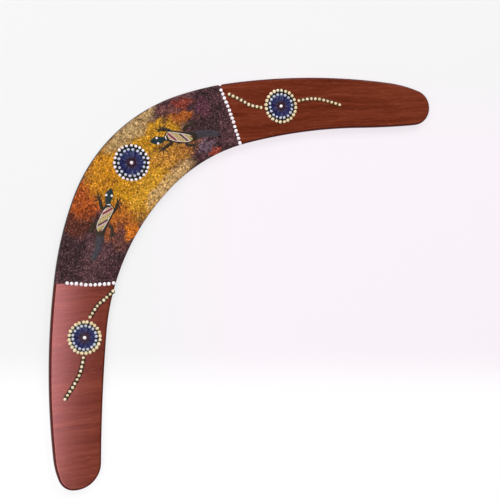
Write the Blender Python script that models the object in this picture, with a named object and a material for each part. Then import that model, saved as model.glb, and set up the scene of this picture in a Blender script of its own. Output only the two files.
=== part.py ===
"""A hand-painted plywood boomerang, 400 mm from tip to tip.

Frame: metres, +Z up. The board lies on its plain underside with the painted face up.
The origin is under the middle of the outline's box, +Y runs out through the elbow and
+X runs along the span to the right-hand tip. The board is hand-shaped, so its left arm
differs a little from its right one.
"""

import math

import bmesh
import bpy
from mathutils import Matrix, Vector

MM = 0.001

# ---- the board: millimetres and degrees ---------------------------------------------
BOARD_THICKNESS = 6.0
PLY_COUNT = 5
GLUE_LINE = 0.1
EDGE_ROUND = 1.5
ELBOW_OUTER = (0.41, 80.7)
ELBOW_INNER = (4.16, 25.2)
# Each side of the outline as tangent arcs, from the elbow's outer point out to its tip and
# back to its inner point: (radius, turn) for the full arcs, then the turns of the two
# hollow ones, whose radii follow.
RIGHT_ARCS = ((127, 25), (237, 11), (513, 14), (103, 14.5), (13.5, 154.5), (660, 4))
RIGHT_HOLLOWS = (13, 30)
LEFT_ARCS = ((123, 24.5), (249, 13), (565, 13), (55.5, 16.5), (11, 62.5), (18.5, 94.5))
LEFT_HOLLOWS = (4, 40)
LONGEST_CHORD = 9.0
WIDEST_STEP = 10.0
OVERSHOOT = 1.0

# ---- the paint ----------------------------------------------------------------------
PAINT_GAP = 0.05
FILM = 0.2
WEB = 0.25
DOT_HEIGHT = 0.75
DOT_SIDES = 6
DOT_CROWN = 0.55
EDGE_MARGIN = 0.3

BAND_DOT = 1.35
BAND_WEB = 1.2
BAND_CLEAR = 1.8
# The two rows of white dots that close the painted elbow: the points that each passes
# through from its outer end to its inner end, and its dots.
LEFT_BAND = (((-96.7, 31.4), (-85.3, 17.6), (-74.1, 7.7)), 11)
RIGHT_BAND = (((81.6, 48.7), (74.9, 32.6), (64.4, 12.0)), 14)

TRAIL_WIDTH = 3.6
TRAIL_DOT = 1.2
TRAIL_CLEAR = 0.3
# Each curving trail: the roundel that it meets, the points that it passes through, and
# how many dots it has.
TRAILS = {
    "right_inner_trail": (
        "right", ((83.7, 42.5), (87.2, 33.8), (90.0, 25.8), (94.8, 18.7)), 9),
    "right_outer_trail": (
        "right", ((120.3, 1.9), (129.1, -4.4), (135.6, -12.1), (142.1, -22.9)), 11),
    "left_inner_trail": (
        "left", ((-79.4, 4.0), (-85.7, 4.2), (-93.0, 4.9), (-102.5, 3.0)), 9),
    "left_outer_trail": (
        "left", ((-126.2, -13.5), (-134.5, -18.8), (-143.4, -21.6), (-155.6, -24.2)), 11),
}

# Each roundel: centre, radius of its outer and inner rings of dots, and whether it
# lies on the painted elbow.
ROUNDELS = {
    "elbow": ((-4.1, 58.2), 12.3, 9.45, True),
    "right": ((107.0, 8.8), 11.75, 8.8, False),
    "left": ((-115.6, -4.25), 11.0, 8.35, False),
}
OUTER_DOTS = 24
INNER_DOTS = 18
OUTER_DOT = 1.25
INNER_DOT = 1.05
OUTER_WEB = 1.0
INNER_WEB = 0.8
GROUND_BEYOND_DOTS = 1.2
IRIS_INNER = 3.2
IRIS_TO_DOTS = 1.4
PUPIL = 2.8
CENTRE_DOT = 1.3
DISC_SIDES = 48

# Each lizard: the middle of its back, and its heading.
LIZARDS = {
    "right_lizard": ((33.5, 46.4), 143.0),
    "left_lizard": ((-46.0, 45.0), 31.0),
}
# A lizard's shapes on its own grid: millimetres ahead of the middle of its back, and to
# its left. Its ovals are (centre, length, width), and its strips are (name, points,
# width).
LIZARD_BACK = ((-0.4, -0.9), 20.0, 7.8)
LIZARD_HEAD = ((15.6, 0.0), 12.4, 5.2)
LIZARD_STRIPS = (
    ("neck", ((7.0, -1.0), (12.0, -0.3)), 2.8),
    ("tail", ((-8.0, 0.0), (-15.0, -0.8), (-23.0, -1.0), (-30.0, 0.6)), 4.4),
    ("left_arm", ((5.0, 0.8), (8.0, 4.0), (13.2, 7.4)), 2.2),
    ("right_arm", ((4.6, -3.2), (8.2, -7.0), (14.0, -7.8)), 2.2),
    ("left_leg", ((-4.0, 1.4), (-6.4, 5.8), (-12.4, 7.0)), 2.2),
    ("right_leg", ((-4.0, -2.8), (-6.4, -7.4), (-11.4, -9.4)), 2.2),
)

BOARD_TOP = BOARD_THICKNESS
ON_WOOD = BOARD_TOP + PAINT_GAP
ON_PANEL = ON_WOOD + FILM + PAINT_GAP


# ---- scene and materials ------------------------------------------------------------
def clear_scene():
    for obj in list(bpy.data.objects):
        bpy.data.objects.remove(obj, do_unlink=True)


def collection(name):
    made = bpy.data.collections.new(name)
    bpy.context.scene.collection.children.link(made)
    return made


def material(name, colour, roughness):
    made = bpy.data.materials.new(name)
    made.use_nodes = True
    shader = made.node_tree.nodes["Principled BSDF"]
    shader.inputs["Base Color"].default_value = (*colour, 1.0)
    shader.inputs["Roughness"].default_value = roughness
    shader.inputs["Metallic"].default_value = 0.0
    made.diffuse_color = (*colour, 1.0)
    return made


# ---- outlines -----------------------------------------------------------------------
def arc_points(start, heading, radius, turn):
    """Points along an arc after its start, and its end's heading; all angles clockwise."""
    side = 1.0 if radius > 0 else -1.0
    length = abs(radius) * math.radians(turn)
    steps = max(math.ceil(length / LONGEST_CHORD), math.ceil(turn / WIDEST_STEP))
    step = side * math.radians(turn) / steps
    chord = 2.0 * abs(radius) * math.sin(abs(step) / 2.0)
    points = []
    at = start
    for _ in range(steps):
        towards = heading - step / 2.0
        at = (at[0] + chord * math.cos(towards), at[1] + chord * math.sin(towards))
        heading -= step
        points.append(at)
    return points, heading


def side_outline(start, arcs, hollows, end):
    """Points from start, heading along +X, round a tip to end, heading along -X."""
    points = [start]
    heading = 0.0
    for radius, turn in arcs:
        more, heading = arc_points(points[-1], heading, radius, turn)
        points += more
    chords = []
    towards = heading
    for turn in hollows:
        half_turn = math.radians(turn) / 2.0
        towards += half_turn
        chords.append(Vector((math.cos(towards), math.sin(towards))) * 2.0 * math.sin(half_turn))
        towards += half_turn
    gap = Vector(end) - Vector(points[-1])
    area = chords[0].cross(chords[1])
    radii = (gap.cross(chords[1]) / area, chords[0].cross(gap) / area)
    for radius, turn in zip(radii, hollows):
        more, heading = arc_points(points[-1], heading, -radius, turn)
        points += more
    return points


def board_outline():
    """The whole outline as (x, y) points, clockwise from the elbow's outer point."""
    right = side_outline(ELBOW_OUTER, RIGHT_ARCS, RIGHT_HOLLOWS, ELBOW_INNER)
    left = side_outline((-ELBOW_OUTER[0], ELBOW_OUTER[1]), LEFT_ARCS, LEFT_HOLLOWS,
                        (-ELBOW_INNER[0], ELBOW_INNER[1]))
    return right + [(-x, y) for x, y in reversed(left[1:-1])]


def inset(points, distance):
    """A clockwise outline moved inwards along its corners' bisectors."""
    moved = []
    for i, (x, y) in enumerate(points):
        before = Vector(points[i - 1])
        after = Vector(points[(i + 1) % len(points)])
        along = (after - before).normalized()
        moved.append((x + along.y * distance, y - along.x * distance))
    return moved


def smooth_path(through, steps=8):
    """Points of a Catmull-Rom curve through the given ones."""
    ends = [Vector(p) for p in through]
    ends = [2 * ends[0] - ends[1]] + ends + [2 * ends[-1] - ends[-2]]
    path = []
    for a, b, c, d in zip(ends, ends[1:], ends[2:], ends[3:]):
        for i in range(steps):
            t = i / steps
            path.append(0.5 * (2 * b + (c - a) * t + (2 * a - 5 * b + 4 * c - d) * t**2
                               + (3 * b - a - 3 * c + d) * t**3))
    path.append(ends[-2])
    return path


def evenly(path, count):
    """So many points at equal distances along a path, from end to end."""
    lengths = [0.0]
    for a, b in zip(path, path[1:]):
        lengths.append(lengths[-1] + (b - a).length)
    spots = []
    for i in range(count):
        want = lengths[-1] * i / (count - 1)
        leg = next(j for j in range(1, len(path)) if lengths[j] >= want - 1e-9)
        part = (want - lengths[leg - 1]) / (lengths[leg] - lengths[leg - 1])
        spots.append(path[leg - 1].lerp(path[leg], part))
    return spots


def ribbon(path, width, end_steps=6):
    """The outline of a strip of that width along a path, with round ends."""
    def direction(i):
        return (path[min(i + 1, len(path) - 1)] - path[max(i - 1, 0)]).normalized()

    def across(i, side):
        along = direction(i)
        return path[i] + Vector((-along.y, along.x)) * side * width / 2.0

    def cap(i, outwards):
        start = math.atan2(outwards.y, outwards.x) + math.pi / 2.0
        for k in range(1, end_steps):
            angle = start - math.pi * k / end_steps
            yield path[i] + Vector((math.cos(angle), math.sin(angle))) * width / 2.0

    last = len(path) - 1
    outline = [across(i, 1) for i in range(len(path))]
    outline += cap(last, direction(last))
    outline += [across(i, -1) for i in range(last, -1, -1)]
    outline += cap(0, -direction(0))
    return [tuple(p) for p in outline]


# ---- solids -------------------------------------------------------------------------
def flat_curve(name, outline, thickness, z):
    """A 2D curve object that fills an outline; its middle height is z."""
    data = bpy.data.curves.new(name, "CURVE")
    data.dimensions = "2D"
    data.fill_mode = "BOTH"
    data.extrude = thickness / 2.0 * MM
    spline = data.splines.new("POLY")
    spline.points.add(len(outline) - 1)
    for point, (x, y) in zip(spline.points, outline):
        point.co = (x * MM, y * MM, 0.0, 1.0)
    spline.use_cyclic_u = True
    obj = bpy.data.objects.new(name, data)
    obj.location.z = z * MM
    bpy.context.scene.collection.objects.link(obj)
    return obj


def as_mesh(curve_obj):
    """The curve object's solid as a mesh object of the same name, welded at its caps."""
    bpy.context.view_layer.update()
    graph = bpy.context.evaluated_depsgraph_get()
    mesh = bpy.data.meshes.new_from_object(curve_obj.evaluated_get(graph))
    work = bmesh.new()
    work.from_mesh(mesh)
    bmesh.ops.remove_doubles(work, verts=work.verts, dist=0.000001)
    bmesh.ops.recalc_face_normals(work, faces=work.faces)
    work.to_mesh(mesh)
    work.free()
    name = curve_obj.name
    made = bpy.data.objects.new(name + "_mesh", mesh)
    made.matrix_world = curve_obj.matrix_world.copy()
    bpy.data.objects.remove(curve_obj, do_unlink=True)
    made.name = name
    mesh.name = name
    bpy.context.scene.collection.objects.link(made)
    return made


def prism(name, outline, thickness, base):
    return as_mesh(flat_curve(name, outline, thickness, base + thickness / 2.0))


def circle(centre, radius, sides=DISC_SIDES):
    turn = 2.0 * math.pi / sides
    return [(centre[0] + radius * math.cos(turn * i), centre[1] + radius * math.sin(turn * i))
            for i in range(sides)]


def ellipse(centre, heading, length, width, sides=20):
    """An oval with its long axis along the heading."""
    points = []
    for i in range(sides):
        angle = 2.0 * math.pi * i / sides
        spot = Vector((length / 2.0 * math.cos(angle), width / 2.0 * math.sin(angle)))
        spot.rotate(Matrix.Rotation(math.radians(heading), 2))
        points.append((centre[0] + spot.x, centre[1] + spot.y))
    return points


def combine(target, others, operation):
    """Applies a Boolean of each other object to the target, and removes the others."""
    for other in others:
        modifier = target.modifiers.new("combine", "BOOLEAN")
        modifier.operation = operation
        modifier.solver = "EXACT"
        modifier.object = other
        bpy.context.view_layer.update()
        graph = bpy.context.evaluated_depsgraph_get()
        mesh = bpy.data.meshes.new_from_object(target.evaluated_get(graph))
        target.modifiers.clear()
        target.data = mesh
        bpy.data.objects.remove(other, do_unlink=True)
    target.data.name = target.name
    return target


def ring(name, centre, outer, inner, base, sides=DISC_SIDES):
    """A flat ring, as a disc with its middle cut out."""
    whole = prism(name, circle(centre, outer, sides), WEB, base)
    middle = prism(name + "_middle", circle(centre, inner, sides), 3.0 * WEB, base - WEB)
    return combine(whole, [middle], "DIFFERENCE")


def dots(name, centres, radius, base):
    """Low blobs of paint, all in one mesh: each a cone that is cut off short."""
    work = bmesh.new()
    for x, y in centres:
        spot = Matrix.Translation(((x * MM, y * MM, (base + DOT_HEIGHT / 2.0) * MM)))
        bmesh.ops.create_cone(
            work, cap_ends=True, segments=DOT_SIDES, radius1=radius * MM,
            radius2=radius * DOT_CROWN * MM, depth=DOT_HEIGHT * MM, matrix=spot)
    mesh = bpy.data.meshes.new(name)
    work.to_mesh(mesh)
    work.free()
    obj = bpy.data.objects.new(name, mesh)
    bpy.context.scene.collection.objects.link(obj)
    return obj


# ---- the board's plies --------------------------------------------------------------
PLY_NAMES = ("back_veneer", "lower_crossband", "core_ply", "upper_crossband", "face_veneer")


def board_blank(outline):
    """The whole board with both rims rounded, to be sliced into plies."""
    curve = flat_curve("board_blank", outline, BOARD_THICKNESS - 2 * EDGE_ROUND,
                       BOARD_THICKNESS / 2.0)
    curve.data.bevel_depth = EDGE_ROUND * MM
    curve.data.bevel_resolution = 2
    curve.data.offset = -EDGE_ROUND * MM
    return as_mesh(curve)


def make_plies(outline, veneer, core):
    """The five plies: slices of the board, with a glue line between each and the next."""
    ply = (BOARD_THICKNESS - (PLY_COUNT - 1) * GLUE_LINE) / PLY_COUNT
    pitch = ply + GLUE_LINE
    across, along = (2.0 * max(abs(point[axis]) for point in outline) for axis in (0, 1))
    around = [(-across, -along), (across, -along), (across, along), (-across, along)]
    plies = []
    for i, name in enumerate(PLY_NAMES):
        low = -OVERSHOOT if i == 0 else i * pitch
        high = BOARD_THICKNESS + OVERSHOOT if i == PLY_COUNT - 1 else i * pitch + ply
        made = board_blank(outline)
        slab = prism("slab", around, high - low, low)
        combine(made, [slab], "INTERSECT")
        made.name = name
        made.data.name = name
        made.data.materials.clear()
        made.data.materials.append(core if 0 < i < PLY_COUNT - 1 else veneer)
        plies.append(made)
    return plies


# ---- the paint ----------------------------------------------------------------------
def end_line(band, side):
    """Two points far beyond a row of dots, on the line where the panel stops short of it."""
    outer, inner = Vector(band[0][0]), Vector(band[0][-1])
    along = (outer - inner).normalized()
    towards_panel = Vector((along.y, -along.x)) * side * BAND_CLEAR
    beyond = along * outer.length
    return tuple(inner - beyond + towards_panel), tuple(outer + beyond + towards_panel)


def make_panel(outline, paint):
    """The sponged paint over the elbow, between the two rows of white dots."""
    film = prism("elbow_panel", inset(outline, EDGE_ROUND + EDGE_MARGIN), FILM, ON_WOOD)
    corners = [*end_line(LEFT_BAND, 1.0), *reversed(end_line(RIGHT_BAND, -1.0))]
    wedge = prism("wedge", corners, 4.0 * FILM, ON_WOOD - FILM)
    combine(film, [wedge], "INTERSECT")
    film.data.materials.clear()
    film.data.materials.append(paint)
    return film


def make_band(name, band, paint):
    """A row of white dots on a narrow line of the same paint."""
    through, count = band
    path = smooth_path(through)
    centres = [tuple(p) for p in evenly(path, count)]
    strip = prism(name, ribbon(path, BAND_WEB), WEB, ON_WOOD)
    blobs = dots(name + "_dots", centres, BAND_DOT, ON_WOOD + PAINT_GAP)
    combine(strip, [blobs], "UNION")
    strip.data.materials.clear()
    strip.data.materials.append(paint)
    return strip


def make_trail(name, paint, face):
    """A curving row of dots on a backing line, on the flat of the face, up to a roundel."""
    place, through, count = TRAILS[name]
    centre, outer = ROUNDELS[place][:2]
    path = smooth_path(through)
    strip = prism(name, ribbon(path, TRAIL_WIDTH), WEB, ON_WOOD)
    flat = prism("flat", face, 4.0 * WEB, ON_WOOD - WEB)
    combine(strip, [flat], "INTERSECT")
    reach = outer + GROUND_BEYOND_DOTS + TRAIL_CLEAR
    disc = prism("disc", circle(centre, reach), 4.0 * WEB, ON_WOOD - WEB)
    combine(strip, [disc], "DIFFERENCE")
    centres = [tuple(p) for p in evenly(path, count)]
    blobs = dots(name + "_dots", centres, TRAIL_DOT, ON_WOOD + PAINT_GAP)
    combine(strip, [blobs], "UNION")
    strip.data.materials.clear()
    strip.data.materials.append(paint)
    return strip


def make_dot_ring(name, centre, radius, count, dot, web, base):
    """A ring of dots, joined by a narrow ring of the same paint with a corner in each dot."""
    carrier = ring(name, centre, radius + web / 2.0, radius - web / 2.0, base, count)
    blobs = dots(name + "_dots", circle(centre, radius, count), dot, base + PAINT_GAP)
    return combine(carrier, [blobs], "UNION")


def make_roundel(place, paints):
    """A dark disc that carries two rings of dots, a blue iris, a pupil and a centre dot."""
    centre, outer, inner, on_panel = ROUNDELS[place]
    base = ON_PANEL if on_panel else ON_WOOD
    top = base + FILM + PAINT_GAP
    name = place + "_roundel_"
    ground = prism(name + "ground", circle(centre, outer + GROUND_BEYOND_DOTS), FILM, base)
    outer_ring = make_dot_ring(name + "outer_dots", centre, outer, OUTER_DOTS, OUTER_DOT,
                               OUTER_WEB, top)
    inner_ring = make_dot_ring(name + "inner_dots", centre, inner, INNER_DOTS, INNER_DOT,
                               INNER_WEB, top)
    iris = ring(name + "iris", centre, inner - IRIS_TO_DOTS, IRIS_INNER, top,
                DISC_SIDES // 2)
    pupil = prism(name + "pupil", circle(centre, PUPIL, DISC_SIDES // 2), WEB, top)
    middle = dots(name + "centre_dot", [centre], CENTRE_DOT, top + WEB + PAINT_GAP)
    pieces = (ground, outer_ring, inner_ring, iris, pupil, middle)
    for piece, paint in zip(pieces, paints):
        piece.data.materials.clear()
        piece.data.materials.append(paint)
    return pieces


def make_lizard(name, paint):
    """A flat painted lizard: a head and back, and strips for its neck, tail and limbs."""
    middle, heading = LIZARDS[name]
    turn = Matrix.Rotation(math.radians(heading), 2)

    def place(spot):
        return Vector(middle) + turn @ Vector(spot)

    def oval(label, shape):
        centre, length, width = shape
        return prism(label, ellipse(place(centre), heading, length, width), FILM, ON_PANEL)

    body = oval(name, LIZARD_BACK)
    joined = []
    for label, points, width in LIZARD_STRIPS:
        path = smooth_path([place(p) for p in points], 4)
        joined.append(prism(name + "_" + label, ribbon(path, width, 4), FILM, ON_PANEL))
    joined.insert(1, oval(name + "_head", LIZARD_HEAD))
    combine(body, joined, "UNION")
    body.data.materials.clear()
    body.data.materials.append(paint)
    return body


def make_all():
    clear_scene()
    boomerang = collection("painted_boomerang")
    stain = material("stained_veneer", (0.17, 0.03, 0.012), 0.25)
    core = material("stained_edge", (0.10, 0.022, 0.008), 0.45)
    panel = material("elbow_paint", (0.42, 0.19, 0.02), 0.4)
    white = material("white_paint", (0.86, 0.82, 0.84), 0.3)
    cream = material("cream_paint", (0.80, 0.66, 0.42), 0.3)
    pale_blue = material("pale_blue_paint", (0.55, 0.66, 0.80), 0.3)
    blue = material("blue_paint", (0.02, 0.04, 0.22), 0.3)
    black = material("black_paint", (0.012, 0.01, 0.01), 0.35)
    plum = material("plum_paint", (0.06, 0.02, 0.03), 0.35)
    teal = material("lizard_paint", (0.02, 0.06, 0.06), 0.35)

    outline = board_outline()
    face = inset(outline, EDGE_ROUND + EDGE_MARGIN)
    made = make_plies(outline, stain, core)
    made.append(make_panel(outline, panel))
    made.append(make_band("left_dot_band", LEFT_BAND, white))
    made.append(make_band("right_dot_band", RIGHT_BAND, white))
    for name in TRAILS:
        made.append(make_trail(name, cream, face))
    for place in ROUNDELS:
        outer = white if place == "elbow" else cream
        made += make_roundel(place, (black, outer, pale_blue, blue, plum, white))
    for name in LIZARDS:
        made.append(make_lizard(name, teal))
    for obj in made:
        bpy.context.scene.collection.objects.unlink(obj)
        boomerang.objects.link(obj)


make_all()
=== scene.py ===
"""The looks of a hand-painted plywood boomerang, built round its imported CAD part.

Frame: metres, +Z up, as the part's own: +Y runs out through the elbow, +X along the span
to the right-hand tip, and the painted face looks up. Lengths and places below are in
millimetres, angles in degrees and colours in sRGB, 0 to 255, unless a name says otherwise.
"""

import math
import random

import bmesh
import bpy
from mathutils import Matrix, Vector, noise


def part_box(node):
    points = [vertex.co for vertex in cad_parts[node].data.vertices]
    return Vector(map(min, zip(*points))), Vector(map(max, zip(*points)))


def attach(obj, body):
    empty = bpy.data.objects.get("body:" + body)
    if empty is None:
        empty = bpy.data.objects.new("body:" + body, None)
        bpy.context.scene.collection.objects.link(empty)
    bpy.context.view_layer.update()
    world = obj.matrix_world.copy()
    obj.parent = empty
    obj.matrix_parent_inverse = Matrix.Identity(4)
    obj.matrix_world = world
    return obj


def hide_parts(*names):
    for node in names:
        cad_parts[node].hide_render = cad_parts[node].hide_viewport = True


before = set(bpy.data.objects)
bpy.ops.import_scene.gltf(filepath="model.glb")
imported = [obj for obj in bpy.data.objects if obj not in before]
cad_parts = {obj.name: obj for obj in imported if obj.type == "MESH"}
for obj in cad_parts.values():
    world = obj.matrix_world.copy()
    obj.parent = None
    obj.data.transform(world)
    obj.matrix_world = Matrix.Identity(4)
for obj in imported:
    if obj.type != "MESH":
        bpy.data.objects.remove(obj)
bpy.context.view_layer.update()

MM = 0.001
SEED = 7
FULL_TURN = 2.0 * math.pi

# ---- the board, as the CAD part has it ----
BOARD_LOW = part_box("back_veneer")[0].z / MM
BOARD_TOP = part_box("face_veneer")[1].z / MM
EDGE_ROUND = 1.5
ELBOW_OUTER = (0.41, 80.7)
ELBOW_INNER = (4.16, 25.2)
# Each side of the outline as tangent arcs, from the elbow's outer point out to its tip and
# back to its inner point: (radius, turn) for the full arcs, then the turns of the two
# hollow ones, whose radii follow.
RIGHT_ARCS = ((127, 25), (237, 11), (513, 14), (103, 14.5), (13.5, 154.5), (660, 4))
RIGHT_HOLLOWS = (13, 30)
LEFT_ARCS = ((123, 24.5), (249, 13), (565, 13), (55.5, 16.5), (11, 62.5), (18.5, 94.5))
LEFT_HOLLOWS = (4, 40)
LONGEST_CHORD = 2.0
WIDEST_STEP = 3.0
ROUND_STEPS = 9
LEVEL_BORDER = 0.3
# Where the rim turns down further than this, as its normal's Z, its lacquer is thin.
RIM_FACING = 0.99
# The visual board's side stands this far inside the CAD part's.
SET_IN = 0.03
PLIES = ("back_veneer", "lower_crossband", "core_ply", "upper_crossband", "face_veneer")
GRAIN_HEADING = -41.0

# ---- the paint's places, as the CAD part has them ----
# Two things differ: the left inner trail starts 1 mm nearer the elbow here, and the two
# dots on the rim have no solid there.
#
# The two rows of white dots that close the painted elbow: the points that each passes
# through from its outer end to its inner end, and its dots.
LEFT_BAND = (((-96.7, 31.4), (-85.3, 17.6), (-74.1, 7.7)), 11)
RIGHT_BAND = (((81.6, 48.7), (74.9, 32.6), (64.4, 12.0)), 14)
BAND_DOT = 1.32
# One more dot beyond each row, part of the way down the rim.
RIM_DOTS = {"left": (-99.9, 36.4), "right": (83.3, 51.6)}
RIM_DOT = 1.1
RIM_DOT_DROP = 0.45
RIM_DOT_RISE = 0.4
# The straight edges of the painted elbow, which run close under the rows of dots.
LEFT_END = ((-97.1, 31.0), (-74.5, 7.3))
RIGHT_END = ((82.0, 48.5), (64.8, 11.8))

# Each curving trail: the points that it passes through, its dots and its line's width.
TRAILS = {
    "right_inner_trail": (
        ((83.7, 42.5), (87.2, 33.8), (90.0, 25.8), (94.8, 18.7)), 9, 2.9),
    "right_outer_trail": (
        ((120.3, 1.9), (129.1, -4.4), (135.6, -12.1), (142.1, -22.9)), 11, 2.9),
    "left_inner_trail": (
        ((-78.4, 4.0), (-85.7, 4.2), (-93.0, 4.9), (-102.5, 3.0)), 9, 3.3),
    "left_outer_trail": (
        ((-126.2, -13.5), (-134.5, -18.8), (-143.4, -21.6), (-155.6, -24.2)), 11, 3.3),
}
TRAIL_DOT = 1.1
TRAIL_OVERRUN = 0.3

# Each roundel: centre, radius of its outer and inner rings of dots, on the panel or not.
ROUNDELS = {
    "elbow": ((-4.1, 58.2), 12.3, 9.45, True),
    "right": ((107.0, 8.8), 11.75, 8.8, False),
    "left": ((-115.6, -4.25), 11.0, 8.35, False),
}
OUTER_DOTS = 24
INNER_DOTS = 18
WHITE_DOT = 1.08
CREAM_DOT = 1.28
INNER_DOT = 1.05
CENTRE_DOT = 1.25
PUPIL = 2.7
IRIS_TO_DOTS = 0.7
# The iris's rings of points, from its outer foot to its inner one, as parts of its radius.
IRIS_PROFILE = (1.0, 0.995, 0.97, 0.85, 0.7, 0.55, 0.42, 0.36, 0.355)
IRIS_SIDES = 144

# Each lizard: the middle of its back, and its heading.
LIZARDS = {
    "right_lizard": ((33.5, 46.4), 143.0),
    "left_lizard": ((-46.0, 45.0), 31.0),
}

# ---- paint thicknesses ----
FILM_BASE = 0.02
FILM = 0.13
RELIEF = 0.17
# The share of the sponged relief that lies below the film's own level.
RELIEF_SUNK = 0.35
FILM_CELL = 0.5
FULL_COVER = 0.5
BARE_RIM = 0.3
DOT_RISE = 0.62
STROKE_RISE = 0.16
STROKE_COLUMNS = 7
STROKE_STEP = 0.6
IRIS_RISE = 0.16
IRIS_RIDGE = 0.035
PUPIL_RISE = 0.14
ON_WOOD = BOARD_TOP + FILM_BASE
ON_PANEL = BOARD_TOP + FILM
# A roundel's ground on the panel and on bare wood: its base, its rise, how far it runs
# beyond the outer ring's middle, and that ring's dots and paint.
GROUNDS = {
    True: (ON_PANEL - 0.04, 0.24, 0.5, WHITE_DOT, "white"),
    False: (ON_WOOD, 0.14, 1.0, CREAM_DOT, "cream"),
}

# ---- the camera, at the photograph's viewing angle ----
CAMERA_AT = (-167.51, 138.63, 777.95)
CAMERA_FORWARD = (0.22254, -0.2298, -0.94745)
CAMERA_UP = (0.71467, 0.69946, -0.00178)
CAMERA_LENS = 79.77
SENSOR_WIDTH = 36.0
CLIP_START = 10.0

# ---- lights ----
SOFTBOX_HEIGHT = 1500.0
# The patch of the board in which the camera sees the softbox: middle, size, turn.
SHEEN = ((-169.3, 21.5), (230.0, 80.0), 41.0)
SOFTBOX_POWER = 3.0
WORLD_STRENGTH = 0.3
FILLS = (
    ("left_fill", (-1000.0, 500.0, 1300.0), 10.3),
    ("back_fill", (300.0, 1200.0, 1200.0), 12.0),
    ("right_fill", (1500.0, 300.0, 1100.0), 16.5),
)
FILL_SIZE = (900.0, 900.0)

# ---- the floor ----
FLOOR_SIZE = 24000.0
FLOOR_DROP = 0.2
# The share of its brightness that the lights give it. Its own glow gives the rest.
DIFFUSE_SHARE = 0.2
# Its tint changes along two directions, in soft steps that each start and end so far out.
NEAR_SIDE = (-0.7395, -0.6731, 0.0)
FAR_RIGHT = (0.663, -0.677, 0.0)
PINK_RIGHT = (-60.0, 60.0)
PINK_NEAR = (-140.0, -50.0)
WHITE_NEAR = (92.0, 136.0)


# ---- colour and material helpers ----
# What a place is multiplied by to leave its height out.
LEVEL = (1.0, 1.0, 0.0)


def linear(colour):
    """An sRGB colour, 0 to 255, as linear red, green, blue and alpha."""
    parts = [c / 255.0 for c in colour]
    return (*[c / 12.92 if c <= 0.04045 else ((c + 0.055) / 1.055) ** 2.4 for c in parts], 1.0)


def node(tree, kind, inputs=None, **settings):
    """Adds a node. An input's value is a constant or another node's output socket."""
    made = tree.nodes.new(kind)
    for key, value in settings.items():
        setattr(made, key, value)
    for key, value in (inputs or {}).items():
        if isinstance(value, bpy.types.NodeSocket):
            tree.links.new(value, made.inputs[key])
        else:
            made.inputs[key].default_value = value
    return made


def math_of(tree, operation, *values):
    return node(tree, "ShaderNodeMath", dict(enumerate(values)), operation=operation).outputs[0]


def vector_of(tree, operation, *vectors, scale=None):
    """The vector, or for a length or a dot product the number, that an operation gives."""
    inputs = dict(enumerate(vectors))
    if scale is not None:
        inputs["Scale"] = scale
    made = node(tree, "ShaderNodeVectorMath", inputs, operation=operation)
    return made.outputs["Value" if operation in ("LENGTH", "DOT_PRODUCT") else "Vector"]


def up_part(tree, vector):
    return node(tree, "ShaderNodeSeparateXYZ", {0: vector}).outputs[2]


def turned_and_scaled(tree, where, turn, scale):
    """A place on a grid that is turned about Z by so many degrees, then scaled."""
    turned = node(tree, "ShaderNodeVectorRotate",
                  {"Vector": where, "Angle": math.radians(-turn)}, rotation_type="Z_AXIS")
    return vector_of(tree, "MULTIPLY", turned.outputs[0], scale)


def position(tree, turn=0.0, scale=(1.0, 1.0, 1.0)):
    """Object coordinates in millimetres, on a grid that is turned and scaled."""
    where = node(tree, "ShaderNodeTexCoord").outputs["Object"]
    return turned_and_scaled(tree, vector_of(tree, "SCALE", where, scale=1.0 / MM), turn, scale)


def noise_at(tree, vector, detail=3.0, roughness=0.55, scale=1.0):
    made = node(tree, "ShaderNodeTexNoise",
                {"Vector": vector, "Scale": scale, "Detail": detail, "Roughness": roughness})
    return made.outputs["Fac"]


def ramp(tree, factor, stops):
    """A colour ramp; each stop is a place from 0 to 1 and an sRGB colour."""
    made = node(tree, "ShaderNodeValToRGB", {"Fac": factor})
    elements = made.color_ramp.elements
    while len(elements) < len(stops):
        elements.new(0.5)
    for element, (place, colour) in zip(elements, stops):
        element.position = place
        element.color = linear(colour)
    return made.outputs["Color"]


def mix(tree, factor, under, over, blend="MIX"):
    """One colour over another. A Mix node's colours are its sockets 6, 7 and, out, 2."""
    made = node(tree, "ShaderNodeMix", {0: factor, 6: under, 7: over},
                data_type="RGBA", blend_type=blend)
    return made.outputs[2]


def remap(tree, value, low, high, to_low=0.0, to_high=1.0, smooth=False):
    made = node(tree, "ShaderNodeMapRange",
                {"Value": value, "From Min": low, "From Max": high,
                 "To Min": to_low, "To Max": to_high})
    if smooth:
        made.interpolation_type = "SMOOTHSTEP"
    return made.outputs[0]


def new_material(name, roughness, coat=0.0, coat_roughness=0.1, specular=0.5):
    """A Principled material: its tree and its shader."""
    made = bpy.data.materials.new(name)
    made.use_nodes = True
    tree = made.node_tree
    shader = tree.nodes["Principled BSDF"]
    shader.inputs["Roughness"].default_value = roughness
    shader.inputs["Coat Weight"].default_value = coat
    shader.inputs["Coat Roughness"].default_value = coat_roughness
    shader.inputs["Specular IOR Level"].default_value = specular
    return made, tree, shader


def connect(tree, socket, shader, name):
    tree.links.new(socket, shader.inputs[name])


def bump(tree, shader, height, depth):
    """Relief whose height runs from 0 to 1 over so many millimetres."""
    made = node(tree, "ShaderNodeBump",
                {"Height": height, "Distance": depth * MM, "Strength": 1.0})
    connect(tree, made.outputs[0], shader, "Normal")


def side_of_line(tree, where, start, end):
    """How far a place lies to the left of the line from start to end."""
    along = (Vector(end) - Vector(start)).normalized()
    normal = (-along.y, along.x, 0.0)
    offset = -(Vector(start).x * normal[0] + Vector(start).y * normal[1])
    return math_of(tree, "ADD", vector_of(tree, "DOT_PRODUCT", where, normal), offset)


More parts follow.
